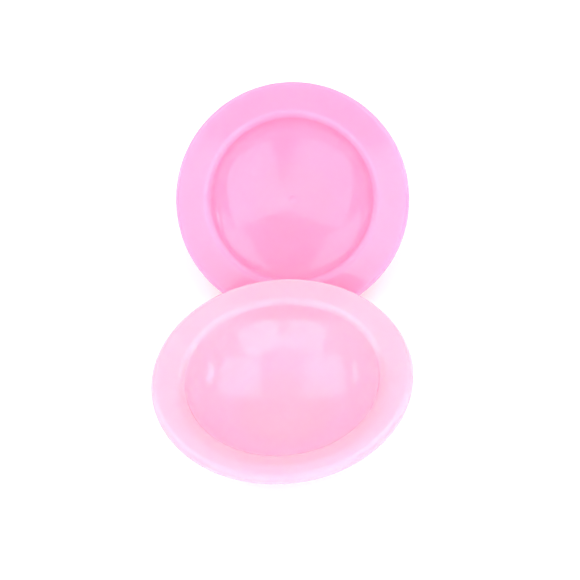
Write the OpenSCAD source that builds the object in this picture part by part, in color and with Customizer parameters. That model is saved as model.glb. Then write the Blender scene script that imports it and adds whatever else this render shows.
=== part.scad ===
// Dappen dish with a loose lid, both moulded in silicone.
// Origin: centre of the dish's foot, on the table.  +Z up.  The lid lies behind the dish, on +Y,
// tipped back on its knob so that its recess faces forwards and up.

/* [Overall] */
// Diameter of the bowl, where its walls reach the height of the flange
mouth_d = 45; // [36:0.5:50]
// Width of the flange, from the bowl to its outer edge
flange_w = 7.5; // [6.6:0.1:12]
// Height of the dish, from the table to the top of its flange
dish_h = 20; // [16:0.5:25]
// Height of the lid, from the end of its knob to the face at its edge
lid_h = 23.5; // [20:0.5:26]

/* [Flange] */
// Thickness of the flange, whose edge is fully rounded
flange_t = 2.8; // [2:0.1:3.4]
// How far the dish's flange falls, and the lid's rises, from the edge to the bowl
flange_fall = 1; // [0.4:0.1:1.4]
// Radius of the rounded lip between the flange and the bowl or recess
lip_r = 2; // [1:0.1:2.4]
// Radius of the fillet between the underside of the flange and the bowl
neck_r = 2; // [1:0.1:2.4]

/* [Bowl and foot] */
// Thickness of the wall of the bowl, and of the lid's recess
wall_t = 2.3; // [1.8:0.1:2.8]
// Outer diameter of the ring foot
foot_d = 24; // [20:0.5:28]
// How far the foot stands below the round of the bowl
foot_h = 1.8; // [1.5:0.1:2.4]
// Width of the foot's ring on the table
foot_ring_w = 2.6; // [2:0.1:3.5]
// Depth of the hollow inside the foot's ring
foot_hollow = 1.2; // [0.6:0.1:1.5]
// Radius of the foot's outer corner
foot_corner_r = 0.8; // [0.4:0.1:1.2]
// Radius of the fillet between the foot and the bowl
foot_fillet_r = 1.5; // [0.8:0.1:2.2]

/* [Lid] */
// How much narrower the lid's recess is than the dish's bowl, on each side
lid_cover = 1.8; // [0:0.1:2.4]
// Depth of the lid's recess
recess_depth = 7; // [6:0.5:8.5]
// Diameter of the knob
knob_d = 19; // [14:0.5:22]
// Radius of the round at the knob's end
knob_corner_r = 1.5; // [0.8:0.1:2.4]
// Radius of the fillet between the knob and the recess's back
knob_fillet_r = 3; // [1.5:0.1:4]
// Clear table between the dish's rim, seen from above, and the lid's edge
lid_gap = 4.2; // [1:0.2:20]

/* [Hidden] */
$fn = 180;
bowl_steps = 32;
round_steps = 14;

mouth_r = mouth_d / 2;
flange_r = mouth_r + flange_w;
edge_r = flange_t / 2;
fall_angle = atan2(flange_fall, flange_w);

// Half width and depth of the dish's bowl and of the lid's recess
bowl = [mouth_r, dish_h - foot_h - wall_t];
recess = [mouth_r - lid_cover, recess_depth];

// The foot's fillet fits between the bowl's back, over the foot's side, and the foot's round corner
foot_side = dish_h - foot_corner_r
    - (bowl.y + wall_t) * sqrt(1 - pow(foot_d / 2 / (bowl.x + wall_t), 2));
foot_fillet = min(foot_fillet_r, foot_side);

// Centres of the round edge of the lid's flange, and of the round at its knob's end
lid_edge_c = [flange_r - edge_r, lid_h - edge_r];
knob_corner_c = [knob_d / 2 - knob_corner_r, knob_corner_r];

// The lid lies on its flange's edge and its knob's end, so it leans by the angle of the line that
// touches both rounds from below
lid_span = lid_edge_c - knob_corner_c;
lid_lean = atan2(lid_span.y, lid_span.x) - asin((edge_r - knob_corner_r) / norm(lid_span));
lid_raise = knob_corner_c.x * sin(lid_lean) - knob_corner_c.y * cos(lid_lean) + knob_corner_r;
lid_back = flange_r + lid_gap + edge_r
    + lid_edge_c.x * cos(lid_lean) + lid_edge_c.y * sin(lid_lean);

// Direction from one point to another
function heading(from, to) = atan2(to.y - from.y, to.x - from.x);

// Points along a circular arc about a centre, from one angle to another
function arc(centre, radius, from, to) =
    oval_arc(centre, [radius, radius], from, to, round_steps);

// Points along an oval with the given half width and half height
function oval_arc(centre, semi, from, to, steps = bowl_steps) = [
    for (i = [0 : steps]) oval_point(centre, semi, from + (to - from) * i / steps)
];

function oval_point(centre, semi, a) = centre + [semi.x * cos(a), semi.y * sin(a)];

// Centre of a circle that touches the oval from outside, at the point of angle a
function outside_oval(centre, semi, a, radius) =
    let (n = [semi.y * cos(a), semi.x * sin(a)])
        oval_point(centre, semi, a) + radius * n / norm(n);

// Angle between low and high at which a rising function passes through nothing
function root(f, low = -90, high = 0, steps = 40) =
    let (middle = (low + high) / 2)
        steps == 0 ? middle
        : f(middle) > 0 ? root(f, low, middle, steps - 1)
        : root(f, middle, high, steps - 1);

// Half outline of the dish's ring foot, or of the lid's knob, from the axis out and up
function foot_outline() =
    let (hollow_r = foot_d / 2 - foot_ring_w)
    concat(
        [[0, foot_hollow], [hollow_r - foot_hollow, foot_hollow], [hollow_r, 0]],
        arc([foot_d / 2 - foot_corner_r, foot_corner_r], foot_corner_r, -90, 0)
    );

function knob_outline() = concat([[0, 0]], arc(knob_corner_c, knob_corner_r, -90, 0));

// Half outline of a moulding, as [radius, height] points: its stem, which is the foot or the knob,
// and then the hollow's back, the flange and the hollow.  Both faces of the hollow's wall are ovals
// about the point where the axis crosses the flange's height.  Each fillet is a circle that touches
// an oval at one angle and a straight side at the other end.
function outline(stem, stem_fillet_r, hollow, height, slope) =
    let (
        up = [-sin(slope), cos(slope)],
        centre = [0, height],
        wall = hollow + [wall_t, wall_t],
        edge_c = [flange_r - edge_r, height - edge_r],
        face = edge_c + edge_r * up,
        back = edge_c - edge_r * up,
        stem_r = stem[len(stem) - 1].x,
        fillet_a = root(function (a)
            outside_oval(centre, wall, a, stem_fillet_r).x - stem_fillet_r - stem_r),
        neck_a = root(function (a)
            up * (outside_oval(centre, wall, a, neck_r) - back) + neck_r),
        lip_a = root(function (a)
            up * (outside_oval(centre, hollow, a, lip_r) - face) + lip_r),
        fillet_c = outside_oval(centre, wall, fillet_a, stem_fillet_r),
        neck_c = outside_oval(centre, wall, neck_a, neck_r),
        lip_c = outside_oval(centre, hollow, lip_a, lip_r)
    )
    concat(
        stem,
        arc(fillet_c, stem_fillet_r, 180, heading(fillet_c, oval_point(centre, wall, fillet_a))),
        oval_arc(centre, wall, fillet_a, neck_a),
        arc(neck_c, neck_r, heading(neck_c, oval_point(centre, wall, neck_a)), slope + 90),
        arc(edge_c, edge_r, slope - 90, slope + 90),
        arc(lip_c, lip_r, slope + 90, heading(lip_c, oval_point(centre, hollow, lip_a))),
        oval_arc(centre, hollow, lip_a, -90)
    );

// Bowl on a ring foot, with a flange that falls towards the rounded lip
module dish() {
    color("pink")
    rotate_extrude()
    polygon(outline(foot_outline(), foot_fillet, bowl, dish_h, fall_angle));
}

// Shallow recess with a knob behind it, and a flange that rises to the lip and so centres itself
// in the dish's flange.  It lies tipped back on its edge and its knob.
module lid() {
    color("orchid")
    translate([0, lid_back, lid_raise])
    rotate([lid_lean, 0, 0])
    rotate_extrude()
    polygon(outline(knob_outline(), knob_fillet_r, recess, lid_h, -fall_angle));
}

dish();
lid();
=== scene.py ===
import bpy
import numpy as np
from bpy.props import FloatProperty, FloatVectorProperty, PointerProperty
from mathutils import Matrix, Vector


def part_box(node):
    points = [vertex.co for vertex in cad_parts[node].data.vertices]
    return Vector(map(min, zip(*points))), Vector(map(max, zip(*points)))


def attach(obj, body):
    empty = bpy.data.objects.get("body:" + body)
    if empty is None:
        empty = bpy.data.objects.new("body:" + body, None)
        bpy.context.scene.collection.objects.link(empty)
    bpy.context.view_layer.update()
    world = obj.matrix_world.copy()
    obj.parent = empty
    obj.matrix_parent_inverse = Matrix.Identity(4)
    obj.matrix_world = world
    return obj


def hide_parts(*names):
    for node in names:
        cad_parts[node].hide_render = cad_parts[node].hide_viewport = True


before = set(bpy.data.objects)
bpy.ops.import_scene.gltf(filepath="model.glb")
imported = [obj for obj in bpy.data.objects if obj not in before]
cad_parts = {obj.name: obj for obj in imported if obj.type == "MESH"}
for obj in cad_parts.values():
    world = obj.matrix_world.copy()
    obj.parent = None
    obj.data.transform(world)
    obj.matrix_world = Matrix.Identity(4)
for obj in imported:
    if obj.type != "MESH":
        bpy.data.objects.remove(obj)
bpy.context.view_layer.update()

bl_info = {
    "name": "Dappen Dish",
    "version": (1, 0, 0),
    "blender": (4, 5, 0),
    "location": "3D View > Sidebar > Dappen Dish",
    "description": "Silicone dappen dish with a loose lid, and the studio it stands in",
    "category": "Add Mesh",
}

MM = 0.001
DISH_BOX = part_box("dish")
LID_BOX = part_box("lid")

# Columns of faces round a moulding, and rows of faces along each kind of round in its outline
COLUMNS = 256
BOWL_ROWS = 56
ROUND_ROWS = 18
CORNER_ROWS = 4
SAME_PLACE = 1e-7  # points of an outline nearer than this are one point

# Silicone: index of refraction, and how far red, green and blue spread against each other
SILICONE_IOR = 1.41
SPREAD = (1.0, 0.55, 0.75)

# Waves per metre and detail of each unevenness, and the size of the mould's orange peel
PIGMENT_NOISE = (45.0, 2.0)
GLOSS_NOISE = (110.0, 4.0)
PEEL_NOISE = (650.0, 3.0)
PEEL_STRENGTH, PEEL_DEPTH = 0.08, 0.1 * MM
DEEPER, PALER = (1.0, 0.95, 0.97), 1.03

# Studio floor: grain, its two greys, its gloss and how far it reaches, in metres
GRAIN_NOISE = (30.0, 2.0)
FLOOR_GREYS = (0.95,) * 3, (0.97,) * 3
FLOOR_ROUGHNESS, FLOOR_SPECULAR = 0.9, 0.1
FLOOR_REACH = 20.0

# Soft boxes look at a point over the middle of the dish, from this far in metres.  Each has a name,
# a direction as (x, y, z), a width and height in metres and a brightness.
LIT_POINT, SOFTBOX_DISTANCE = (0.0, 0.0, 0.02), 0.65
SOFTBOXES = (
    ("front_left", (-0.43, -0.74, 0.515), (0.52, 0.66), 1.6),
    ("front_right", (0.43, -0.74, 0.515), (0.52, 0.66), 1.9),
    ("high_left", (-0.62, 0.1, 0.77), (0.5, 0.5), 1.6),
    ("high_right", (0.62, 0.1, 0.77), (0.5, 0.5), 1.75),
    ("side_left", (-0.95, 0.25, 0.2), (0.2, 0.2), 2.5),
    ("side_right", (0.95, 0.25, 0.2), (0.2, 0.2), 4.0),
)

# The camera turns about a point behind the dish's middle, at its top, and then moves to the right
# and up without turning.  It sees what is between the two clips.
TURN_BACK, SHIFT_RIGHT, SHIFT_UP = 12 * MM, 1.44 * MM, 9.79 * MM
CLIPS = 0.01, 50.0


# ---------------------------------------------------------------- settings


def length(name, description, default, **limits):
    """A length in metres, shown in the scene's units."""
    return FloatProperty(
        name=name, description=description, default=default, unit="LENGTH", precision=4, **limits
    )


class MouldingSizes(bpy.types.PropertyGroup):
    """Sizes of the dish and the lid, which share most of them."""

    mouth_radius: length("Bowl radius", "Inside the dish's bowl, at the height of its flange", 22.5 * MM)
    lid_height: length("Lid height", "From its knob's end to its edge", 23.5 * MM)
    lid_cover: length("Lid cover", "How much narrower the lid's recess is, on each side", 1.8 * MM)
    recess_depth: length("Recess depth", "Of the lid's recess, under its flange", 7.0 * MM)
    knob_radius: length("Knob radius", "Outside of the lid's knob", 9.5 * MM)
    knob_corner: length("Knob corner", "Radius of the round at the knob's end", 1.5 * MM)
    knob_fillet: length("Knob fillet", "Between the knob and the recess's back", 3.0 * MM)
    knob_dimple: length("Knob dimple", "How far the knob's end sinks in its middle", 0.4 * MM)
    flange_thickness: length("Flange thickness", "Between its two faces", 2.8 * MM)
    flange_fall: length("Flange fall", "How far the dish's flange falls from its edge", 1.0 * MM)
    lip_radius: length("Lip radius", "Round between the flange and the bowl or recess", 2.0 * MM)
    neck_radius: length("Neck fillet", "Under the flange, against the bowl", 2.0 * MM)
    wall: length("Wall", "Thickness of the bowl, and of the lid's recess", 2.3 * MM)
    foot_radius: length("Foot radius", "Outside of the ring foot", 12.0 * MM)
    foot_rise: length("Foot rise", "How far the foot stands below the bowl", 1.8 * MM)
    foot_ring: length("Foot ring", "Width of the ring on the table", 2.6 * MM)
    foot_hollow: length("Foot hollow", "Depth of the hollow in the ring", 1.2 * MM)
    foot_corner: length("Foot corner", "Radius of the foot's outer corner", 0.8 * MM)
    foot_fillet: length("Foot fillet", "Between the foot and the bowl", 1.5 * MM)
    soft_corner: length("Soft corner", "Radius left on the hollow's corners", 0.3 * MM)
    parting_height: length("Parting line", "How proud the mould's line stands on the edge", 0.05 * MM)
    parting_width: length("Parting width", "Half width of the mould's line", 0.12 * MM)
    gate_radius: length("Gate mark", "Radius of the mark on the bowl's floor", 0.9 * MM)
    gate_height: length("Gate height", "How far the gate mark stands up", 0.1 * MM)
    sag: length("Sag", "How far the soft flange dips between its high points", 0.12 * MM)


class SiliconeLook(bpy.types.PropertyGroup):
    """Colours and gloss of the two silicones."""

    dish_colour: FloatVectorProperty(
        name="Dish", description="Colour of the dish's thin flange", subtype="COLOR",
        size=3, min=0.0, max=1.0, default=(1.0, 0.575, 0.7),
    )
    # Painted shade: the bowl's colour is a deeper pink for the middle of the dish. It stands in for the
    # darker tint that light takes on in the bowl's hollow and its thick silicone.
    bowl_painted_shade: FloatVectorProperty(
        name="Bowl", description="Colour of the dish where it is thick, over its foot", subtype="COLOR",
        size=3, min=0.0, max=1.0, default=(1.0, 0.5, 0.66),
    )
    lid_colour: FloatVectorProperty(
        name="Lid", description="Colour of the lid's silicone", subtype="COLOR",
        size=3, min=0.0, max=1.0, default=(1.0, 0.325, 0.53),
    )
    dish_clearness: FloatProperty(
        name="Dish clearness", description="Share of light that goes straight through the dish's flange",
        subtype="FACTOR", min=0.0, max=1.0, default=0.35,
    )
    bowl_clearness: FloatProperty(
        name="Bowl clearness", description="Share of light that goes straight through the bowl's floor",
        subtype="FACTOR", min=0.0, max=1.0, default=0.12,
    )
    lid_clearness: FloatProperty(
        name="Lid clearness", description="Share of light that goes straight through the lid",
        subtype="FACTOR", min=0.0, max=1.0, default=0.05,
    )
    scatter: length("Scatter", "How far light spreads inside the silicone", 5.0 * MM)
    gloss: FloatProperty(
        name="Gloss", description="Specular level: half is plain silicone, more is a glossier mould",
        subtype="FACTOR", min=0.0, max=1.0, default=0.8,
    )
    smoothest: FloatProperty(
        name="Smoothest", description="Lowest roughness", subtype="FACTOR", default=0.08
    )
    roughest: FloatProperty(
        name="Roughest", description="Highest roughness", subtype="FACTOR", default=0.16
    )


class StudioSettings(bpy.types.PropertyGroup):
    """Place of the camera and strength of the lights."""

    azimuth: FloatProperty(
        name="Azimuth", description="How far the camera stands round to the right",
        subtype="ANGLE", default=np.radians(6.7),
    )
    elevation: FloatProperty(
        name="Elevation", description="How far the camera looks down",
        subtype="ANGLE", default=np.radians(46.3),
    )
    roll: FloatProperty(
        name="Roll", description="How far the camera leans to its right",
        subtype="ANGLE", default=np.radians(5.6),
    )
    distance: length("Distance", "From the camera to its aim", 0.3095)
    lens: FloatProperty(name="Lens", description="Focal length in mm", default=82.1)
    ambient: FloatProperty(name="Ambient", description="Brightness all round", default=0.77)


# ------------------------------------------------------------ outline of a moulding


def unit(angle):
    """The direction at this angle, or the directions at these."""
    return np.stack([np.cos(angle), np.sin(angle)], axis=-1)


def heading(start, end):
    """Angle of the way from one point to another."""
    return np.arctan2(end[1] - start[1], end[0] - start[0])


def oval(centre, semi, angle):
    """Points of an oval: its centre plus its half width times the cosine of the angle and its half
    height times the sine."""
    return centre + semi * unit(angle)


def arc(centre, radius, start, end, rows=ROUND_ROWS):
    """Points of a circle: its centre plus its radius along each angle from start to end."""
    return oval(centre, radius, np.linspace(start, end, rows + 1))


def beside(centre, semi, angle, radius):
    """Centre of a circle that touches an oval from outside: the oval's point, and one radius on along
    the oval's normal, which is (half height times cosine, half width times sine)."""
    normal = semi[::-1] * unit(angle)
    return oval(centre, semi, angle) + radius * normal / np.linalg.norm(normal)


def root(rising, low=-np.pi / 2, high=0.0, steps=48):
    """Angle at which a rising function is nothing, by halving the range again and again."""
    for _ in range(steps):
        middle = (low + high) / 2
        low, high = (low, middle) if rising(middle) > 0 else (middle, high)
    return low


def rounded(before, corner, after, radius):
    """Round of this radius in a corner: it touches both sides where the circle's centre, which lies
    on the corner's middle line, is one radius away from them."""
    before, corner, after = (np.asarray(p, float) for p in (before, corner, after))
    back = (before - corner) / np.linalg.norm(before - corner)
    on = (after - corner) / np.linalg.norm(after - corner)
    half = np.arccos(back @ on) / 2
    middle = (back + on) / np.linalg.norm(back + on)
    centre = corner + middle * radius / np.sin(half)
    reach = radius / np.tan(half)
    start, end = heading(centre, corner + back * reach), heading(centre, corner + on * reach)
    end = start + (end - start + np.pi) % (2 * np.pi) - np.pi
    return arc(centre, radius, start, end, CORNER_ROWS)


def foot_outline(sizes):
    """Ring foot from the axis out to the side of its ring: a shallow hollow with softened corners,
    the flat ring and its round corner."""
    hollow_r = sizes.foot_radius - sizes.foot_ring
    roof_r = hollow_r - sizes.foot_hollow
    corner = np.array([sizes.foot_radius - sizes.foot_corner, sizes.foot_corner])
    axis, roof = [0.0, sizes.foot_hollow], [roof_r, sizes.foot_hollow]
    step, floor = [hollow_r, 0.0], [corner[0], 0.0]
    return np.concatenate([
        np.linspace(axis, [roof_r - 2 * sizes.soft_corner, sizes.foot_hollow], ROUND_ROWS),
        rounded(axis, roof, step, sizes.soft_corner),
        rounded(roof, step, floor, sizes.soft_corner),
        arc(corner, sizes.foot_corner, -np.pi / 2, 0.0),
    ])


def knob_outline(sizes):
    """Knob from the axis out to its side: an end that sinks by the dimple times (1 - (r / R)^2)^2,
    and a round corner."""
    corner = np.array([sizes.knob_radius - sizes.knob_corner, sizes.knob_corner])
    reach = np.linspace(0.0, corner[0], ROUND_ROWS, endpoint=False)
    dimple = sizes.knob_dimple * (1 - (reach / corner[0]) ** 2) ** 2
    end = np.stack([reach, dimple], axis=-1)
    return np.concatenate([end, arc(corner, sizes.knob_corner, -np.pi / 2, 0.0)])


def moulding_outline(sizes, stem, stem_fillet, hollow, flange_radius, height, slope):
    """Half outline of a moulding as (radius, height), from the axis under its stem, which is the foot
    or the knob, round the flange and back to the axis in the hollow.  Both faces of the hollow's wall
    are ovals about the point of the axis at the flange's height, and the stem's fillet, the neck's
    fillet and the lip are circles that touch an oval and a straight side.  The flange's edge is a
    half circle with the mould's parting line, a bell exp(-(s / w)^2) of the way s along the edge.
    The gate mark on the hollow's floor is a low disc with a smooth step, 1 / (1 + (r / R)^8) high."""
    upright = slope + np.pi / 2
    up = unit(upright)
    edge_r = sizes.flange_thickness / 2
    edge = np.array([flange_radius - edge_r, height - edge_r])
    centre = np.array([0.0, height])
    wall = hollow + sizes.wall

    def above_back(angle):
        return up @ (beside(centre, wall, angle, sizes.neck_radius) - edge) + edge_r + sizes.neck_radius

    def above_face(angle):
        return up @ (beside(centre, hollow, angle, sizes.lip_radius) - edge) - edge_r + sizes.lip_radius

    def out_of_stem(angle):
        return beside(centre, wall, angle, stem_fillet)[0] - stem_fillet - stem[-1, 0]

    stem_turn, neck_turn, lip_turn = root(out_of_stem), root(above_back), root(above_face)
    fillet = beside(centre, wall, stem_turn, stem_fillet)
    neck = beside(centre, wall, neck_turn, sizes.neck_radius)
    lip = beside(centre, hollow, lip_turn, sizes.lip_radius)

    edge_turn = np.linspace(-np.pi / 2, np.pi / 2, 3 * ROUND_ROWS + 1)
    bell = np.exp(-((edge_r * edge_turn / sizes.parting_width) ** 2))
    edge_reach = edge_r - sizes.parting_height * (np.cos(edge_turn) - bell)
    floor = oval(centre, hollow, np.linspace(lip_turn, -np.pi / 2, 2 * BOWL_ROWS + 1))
    floor[:, 1] += sizes.gate_height / (1 + (floor[:, 0] / sizes.gate_radius) ** 8)
    floor[-1, 0] = 0.0
    return np.concatenate([
        stem,
        arc(fillet, stem_fillet, np.pi, heading(fillet, oval(centre, wall, stem_turn))),
        oval(centre, wall, np.linspace(stem_turn, neck_turn, BOWL_ROWS + 1)),
        arc(neck, sizes.neck_radius, heading(neck, oval(centre, wall, neck_turn)), upright),
        edge + edge_reach[:, None] * unit(slope + edge_turn),
        arc(lip, sizes.lip_radius, upright, heading(lip, oval(centre, hollow, lip_turn))),
        floor,
    ])


# ------------------------------------------------------------ mesh


def revolve(outline, columns=COLUMNS):
    """Closed surface of revolution.  Each point (r, z) of the outline goes round the axis to
    (r cos t, r sin t, z); the outline's two ends are on the axis and close it with fans."""
    keep = np.r_[True, np.linalg.norm(np.diff(outline, axis=0), axis=1) > SAME_PLACE]
    outline = outline[keep]
    rings = outline[1:-1]
    turn = np.linspace(0.0, 2 * np.pi, columns, endpoint=False)
    radius, height = rings[:, :1], np.repeat(rings[:, 1:], columns, axis=1)
    grid = np.stack([radius * np.cos(turn), radius * np.sin(turn), height], axis=-1)
    poles = [[0.0, 0.0, outline[0, 1]], [0.0, 0.0, outline[-1, 1]]]
    points = np.concatenate([grid.reshape(-1, 3), poles])

    index = np.arange(len(rings) * columns).reshape(len(rings), columns)
    ahead = np.roll(index, -1, axis=1)
    quads = np.stack([index[:-1], ahead[:-1], ahead[1:], index[1:]], axis=-1).reshape(-1, 4)
    first, last = len(points) - 2, len(points) - 1
    under = np.stack([np.full(columns, first), ahead[0], index[0]], axis=-1)
    over = np.stack([np.full(columns, last), index[-1], ahead[-1]], axis=-1)
    return points, [*quads.tolist(), *under.tolist(), *over.tolist()]


def sagged(points, sizes, flange_radius):
    """Lets the soft flange dip to the left and right: each point goes down by the sag, times the cube
    of its share of the flange's radius, times (1 + cos 2t) / 2 with t the angle round the axis."""
    share = np.hypot(points[:, 0], points[:, 1]) / flange_radius
    turn = np.arctan2(points[:, 1], points[:, 0])
    dip = sizes.sag * share**3 * (1 + np.cos(2 * turn)) / 2
    return points - dip[:, None] * np.array([0.0, 0.0, 1.0])


def make_piece(name, points, faces, material, body, node):
    """A smooth mesh object that stands for a node and rides on its body."""
    mesh = bpy.data.meshes.new(name)
    mesh.from_pydata(points.tolist(), [], faces)
    mesh.polygons.foreach_set("use_smooth", np.ones(len(mesh.polygons), bool))
    mesh.materials.append(material)
    mesh.update()
    piece = bpy.data.objects.new(name, mesh)
    bpy.context.scene.collection.objects.link(piece)
    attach(piece, body)
    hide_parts(node)
    return piece


# ------------------------------------------------------------ materials


class Nodes:
    """Short ways to add and join the nodes of one material."""

    def __init__(self, name):
        self.material = bpy.data.materials.new(name)
        self.material.use_nodes = True
        self.tree = self.material.node_tree
        self.shader = self.tree.nodes["Principled BSDF"]
        self.place = self.add("ShaderNodeTexCoord").outputs["Object"]

    def add(self, kind, **settings):
        """Adds a node with these settings."""
        node = self.tree.nodes.new(kind)
        for key, value in settings.items():
            setattr(node, key, value)
        return node

    def link(self, start, end):
        """Joins an output to an input."""
        self.tree.links.new(start, end)

    def noise(self, scale, detail):
        """Smooth noise in the object's own place."""
        node = self.add("ShaderNodeTexNoise")
        node.inputs["Scale"].default_value = scale
        node.inputs["Detail"].default_value = detail
        self.link(self.place, node.inputs["Vector"])
        return node.outputs["Fac"]

    def from_axis(self):
        """Distance from the dish's axis: the length of the place with its height left out."""
        level = self.add("ShaderNodeMapping")
        level.inputs["Scale"].default_value = (1.0, 1.0, 0.0)
        reach = self.add("ShaderNodeVectorMath", operation="LENGTH")
        self.link(self.place, level.inputs["Vector"])
        self.link(level.outputs["Vector"], reach.inputs[0])
        return reach.outputs["Value"]

    def ranged(self, value, low, high, start=0.0, end=1.0):
        """Maps a value from start..end to low..high."""
        node = self.add("ShaderNodeMapRange")
        node.inputs["From Min"].default_value = start
        node.inputs["From Max"].default_value = end
        node.inputs["To Min"].default_value = low
        node.inputs["To Max"].default_value = high
        self.link(value, node.inputs["Value"])
        return node.outputs["Result"]

    def ramp(self, value, low, high):
        """Mixes two colours by a value from 0 to 1."""
        node = self.add("ShaderNodeMix", data_type="RGBA")
        self.link(value, node.inputs["Factor"])
        node.inputs["A"].default_value = (*low, 1.0)
        node.inputs["B"].default_value = (*high, 1.0)
        return node.outputs["Result"]

    def mottled(self, value, colour):
        """A colour that wanders a little, to a paler and to a deeper shade of itself."""
        colour = np.array(colour)
        return self.ramp(value, colour * DEEPER, np.clip(colour * PALER, 0.0, 1.0))

    def mix(self, value, low, high):
        """Mixes two colour sockets by a value from 0 to 1."""
        node = self.add("ShaderNodeMix", data_type="RGBA")
        for source, name in ((value, "Factor"), (low, "A"), (high, "B")):
            self.link(source, node.inputs[name])
        return node.outputs["Result"]


class Bowl:
    """How a bowl's floor differs from its flange: a deeper colour, which is painted shade of the hollow
    and the thick silicone, a lower clearness, and the radii between which the change happens.
    """

    def __init__(self, colour, clearness, start, end):
        self.colour, self.clearness, self.start, self.end = colour, clearness, start, end


def silicone(name, colour, clearness, look, bowl=None):
    """Glossy translucent silicone: pigment slightly uneven in depth, gloss slightly uneven from
    handling, and a faint orange peel left by the mould.  Where a bowl is given, the middle has the
    bowl's deeper colour, which is painted shade, and its clearness, and the flange has the others."""
    nodes = Nodes(name)
    shader = nodes.shader
    wander = nodes.noise(*PIGMENT_NOISE)
    shade = nodes.mottled(wander, colour)
    shader.inputs["Transmission Weight"].default_value = clearness
    if bowl:
        # Painted shade: towards the middle, the bowl's deeper colour takes over from the flange's.
        share = nodes.ranged(nodes.from_axis(), 0.0, 1.0, bowl.start, bowl.end)
        shade = nodes.mix(share, nodes.mottled(wander, bowl.colour), shade)
        nodes.link(nodes.ranged(share, bowl.clearness, clearness), shader.inputs["Transmission Weight"])
    nodes.link(shade, shader.inputs["Base Color"])
    roughness = nodes.ranged(nodes.noise(*GLOSS_NOISE), look.smoothest, look.roughest)
    nodes.link(roughness, shader.inputs["Roughness"])
    bump = nodes.add("ShaderNodeBump")
    bump.inputs["Strength"].default_value = PEEL_STRENGTH
    bump.inputs["Distance"].default_value = PEEL_DEPTH
    nodes.link(nodes.noise(*PEEL_NOISE), bump.inputs["Height"])
    nodes.link(bump.outputs["Normal"], shader.inputs["Normal"])
    shader.inputs["IOR"].default_value = SILICONE_IOR
    shader.inputs["Specular IOR Level"].default_value = look.gloss
    shader.inputs["Subsurface Weight"].default_value = 1.0
    shader.inputs["Subsurface Radius"].default_value = SPREAD
    shader.inputs["Subsurface Scale"].default_value = look.scatter
    return nodes.material


def paper_white(name):
    """Matt white studio floor with a very faint grain."""
    nodes = Nodes(name)
    grain = nodes.ramp(nodes.noise(*GRAIN_NOISE), *FLOOR_GREYS)
    nodes.link(grain, nodes.shader.inputs["Base Color"])
    nodes.shader.inputs["Roughness"].default_value = FLOOR_ROUGHNESS
    nodes.shader.inputs["Specular IOR Level"].default_value = FLOOR_SPECULAR
    return nodes.material


# ------------------------------------------------------------ operators


class DAPPEN_OT_dish(bpy.types.Operator):
    """Make the dish: a bowl on a ring foot, with a flange that falls towards a rounded lip"""

    bl_idname = "dappen.dish"
    bl_label = "Dish"

    def execute(self, context):
        sizes, look = context.scene.dappen_sizes, context.scene.dappen_look
        flange_radius, height = DISH_BOX[1].x, DISH_BOX[1].z
        slope = np.arctan2(sizes.flange_fall, flange_radius - sizes.mouth_radius)
        hollow = np.array([sizes.mouth_radius, height - sizes.foot_rise - sizes.wall])
        outline = moulding_outline(
            sizes, foot_outline(sizes), sizes.foot_fillet, hollow, flange_radius, height, slope
        )
        points, faces = revolve(outline)
        points = sagged(points, sizes, flange_radius)
        thick = sizes.foot_radius + sizes.foot_fillet
        # The bowl's deeper colour is painted shade over the thick middle of the dish.
        bowl = Bowl(look.bowl_painted_shade, look.bowl_clearness, thick, sizes.mouth_radius)
        material = silicone("pale_pink_silicone", look.dish_colour, look.dish_clearness, look, bowl)
        make_piece("dish_moulding", points, faces, material, "dish", "dish")
        return {"FINISHED"}


class DAPPEN_OT_lid(bpy.types.Operator):
    """Make the lid: a shallow recess with a knob and a flange that rises to its lip, tipped back"""

    bl_idname = "dappen.lid"
    bl_label = "Lid"

    def execute(self, context):
        sizes, look = context.scene.dappen_sizes, context.scene.dappen_look
        flange_radius, height = LID_BOX[1].x, sizes.lid_height
        slope = -np.arctan2(sizes.flange_fall, flange_radius - sizes.mouth_radius)
        recess = np.array([sizes.mouth_radius - sizes.lid_cover, sizes.recess_depth])
        outline = moulding_outline(
            sizes, knob_outline(sizes), sizes.knob_fillet, recess, flange_radius, height, slope
        )
        points, faces = revolve(outline)
        points = self.laid_down(sagged(points, sizes, flange_radius), sizes, flange_radius)
        material = silicone("orchid_silicone", look.lid_colour, look.lid_clearness, look)
        make_piece("lid_moulding", points, faces, material, "lid", "lid")
        return {"FINISHED"}

    def laid_down(self, points, sizes, flange_radius):
        """Tips the lid back until it lies on its flange's edge and its knob's end: it leans by the
        angle of the line that touches both rounds from below."""
        edge_r = sizes.flange_thickness / 2
        edge = np.array([flange_radius - edge_r, sizes.lid_height - edge_r])
        corner = np.array([sizes.knob_radius - sizes.knob_corner, sizes.knob_corner])
        span = edge - corner
        lean = np.arctan2(span[1], span[0])
        lean -= np.arcsin((edge_r - sizes.knob_corner) / np.linalg.norm(span))
        raised = corner[0] * np.sin(lean) - corner[1] * np.cos(lean) + sizes.knob_corner
        back = LID_BOX[0].y + edge_r + edge[0] * np.cos(lean) + edge[1] * np.sin(lean)
        turn = np.array(Matrix.Rotation(lean, 3, "X"))
        return points @ turn.T + [0.0, back, raised]


def softbox(name, direction, size, brightness):
    """An area light that looks at the lit point from a direction.  Its power is its brightness times
    its area times pi."""
    data = bpy.data.lights.new(name, "AREA")
    data.shape = "RECTANGLE"
    data.size, data.size_y = size
    data.energy = brightness * size[0] * size[1] * np.pi
    light = bpy.data.objects.new(name, data)
    away = Vector(direction).normalized()
    light.location = Vector(LIT_POINT) + away * SOFTBOX_DISTANCE
    light.rotation_mode = "QUATERNION"
    light.rotation_quaternion = away.to_track_quat("Z", "Y")
    light.visible_camera = False
    bpy.context.scene.collection.objects.link(light)


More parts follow.
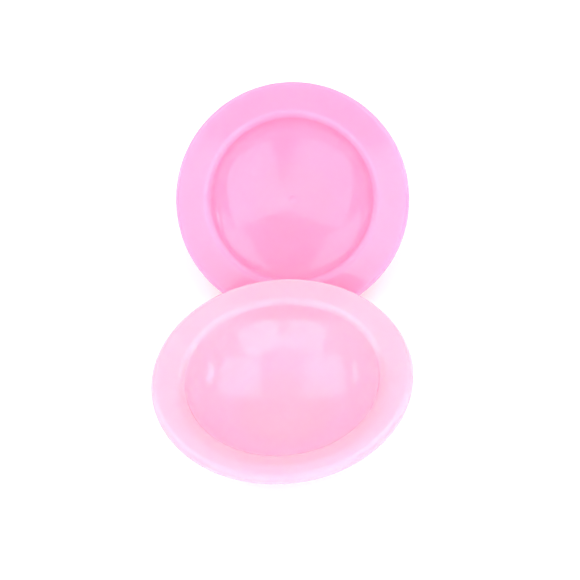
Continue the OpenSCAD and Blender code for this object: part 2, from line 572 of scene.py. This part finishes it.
class DAPPEN_OT_stage(bpy.types.Operator):
    """Set the stage: a white floor, soft light all round and the camera"""

    bl_idname = "dappen.stage"
    bl_label = "Stage"

    def execute(self, context):
        studio = context.scene.dappen_studio
        self.make_floor(context)
        self.make_lights(context, studio)
        self.make_camera(context, studio)
        return {"FINISHED"}

    def make_floor(self, context):
        """A flat square of white paper, far larger than what is seen."""
        mesh = bpy.data.meshes.new("floor")
        corners = ((-1, -1), (1, -1), (1, 1), (-1, 1))
        square = [(x * FLOOR_REACH, y * FLOOR_REACH, 0.0) for x, y in corners]
        mesh.from_pydata(square, [], [(0, 1, 2, 3)])
        mesh.materials.append(paper_white("studio_white"))
        floor = bpy.data.objects.new("floor", mesh)
        context.scene.collection.objects.link(floor)

    def make_lights(self, context, studio):
        """An even white world and the soft boxes."""
        world = bpy.data.worlds.new("studio")
        world.use_nodes = True
        background = world.node_tree.nodes["Background"]
        background.inputs["Color"].default_value = (1.0, 1.0, 1.0, 1.0)
        background.inputs["Strength"].default_value = studio.ambient
        context.scene.world = world
        context.scene.view_settings.view_transform = "Standard"
        for settings in SOFTBOXES:
            softbox(*settings)

    def make_camera(self, context, studio):
        """A camera that looks down at the dish from the front, leaning a little."""
        azimuth, elevation = studio.azimuth, studio.elevation
        level = np.cos(elevation)
        back = Vector((np.sin(azimuth) * level, -np.cos(azimuth) * level, np.sin(elevation)))
        side = Vector((0.0, 0.0, 1.0)).cross(back).normalized()
        top = back.cross(side)
        right = side * np.cos(studio.roll) - top * np.sin(studio.roll)
        up = side * np.sin(studio.roll) + top * np.cos(studio.roll)
        target = Vector((0.0, TURN_BACK, DISH_BOX[1].z))
        aim = target + right * SHIFT_RIGHT + up * SHIFT_UP
        data = bpy.data.cameras.new("camera")
        data.lens = studio.lens
        data.clip_start, data.clip_end = CLIPS
        camera = bpy.data.objects.new("camera", data)
        columns = Matrix((right, up, back)).transposed().to_4x4()
        camera.matrix_world = Matrix.Translation(aim + back * studio.distance) @ columns
        context.scene.collection.objects.link(camera)
        context.scene.camera = camera


class DAPPEN_PT_panel(bpy.types.Panel):
    """Dappen dish tools"""

    bl_idname = "DAPPEN_PT_panel"
    bl_label = "Dappen Dish"
    bl_space_type = "VIEW_3D"
    bl_region_type = "UI"
    bl_category = "Dappen Dish"

    def draw(self, context):
        column = self.layout.column(align=True)
        for operator in OPERATORS:
            column.operator(operator.bl_idname)
        for settings in ("dappen_sizes", "dappen_look", "dappen_studio"):
            group = getattr(context.scene, settings)
            for key in group.bl_rna.properties.keys():
                if key not in ("rna_type", "name"):
                    column.prop(group, key)


OPERATORS = (DAPPEN_OT_dish, DAPPEN_OT_lid, DAPPEN_OT_stage)
GROUPS = (MouldingSizes, SiliconeLook, StudioSettings)
CLASSES = (*GROUPS, *OPERATORS, DAPPEN_PT_panel)


def register():
    for cls in CLASSES:
        bpy.utils.register_class(cls)
    bpy.types.Scene.dappen_sizes = PointerProperty(type=MouldingSizes)
    bpy.types.Scene.dappen_look = PointerProperty(type=SiliconeLook)
    bpy.types.Scene.dappen_studio = PointerProperty(type=StudioSettings)


def unregister():
    del bpy.types.Scene.dappen_studio
    del bpy.types.Scene.dappen_look
    del bpy.types.Scene.dappen_sizes
    for cls in reversed(CLASSES):
        bpy.utils.unregister_class(cls)


def main():
    """Registers the add-on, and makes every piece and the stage."""
    register()
    bpy.ops.dappen.dish()
    bpy.ops.dappen.lid()
    bpy.ops.dappen.stage()


if __name__ == "__main__":
    main()
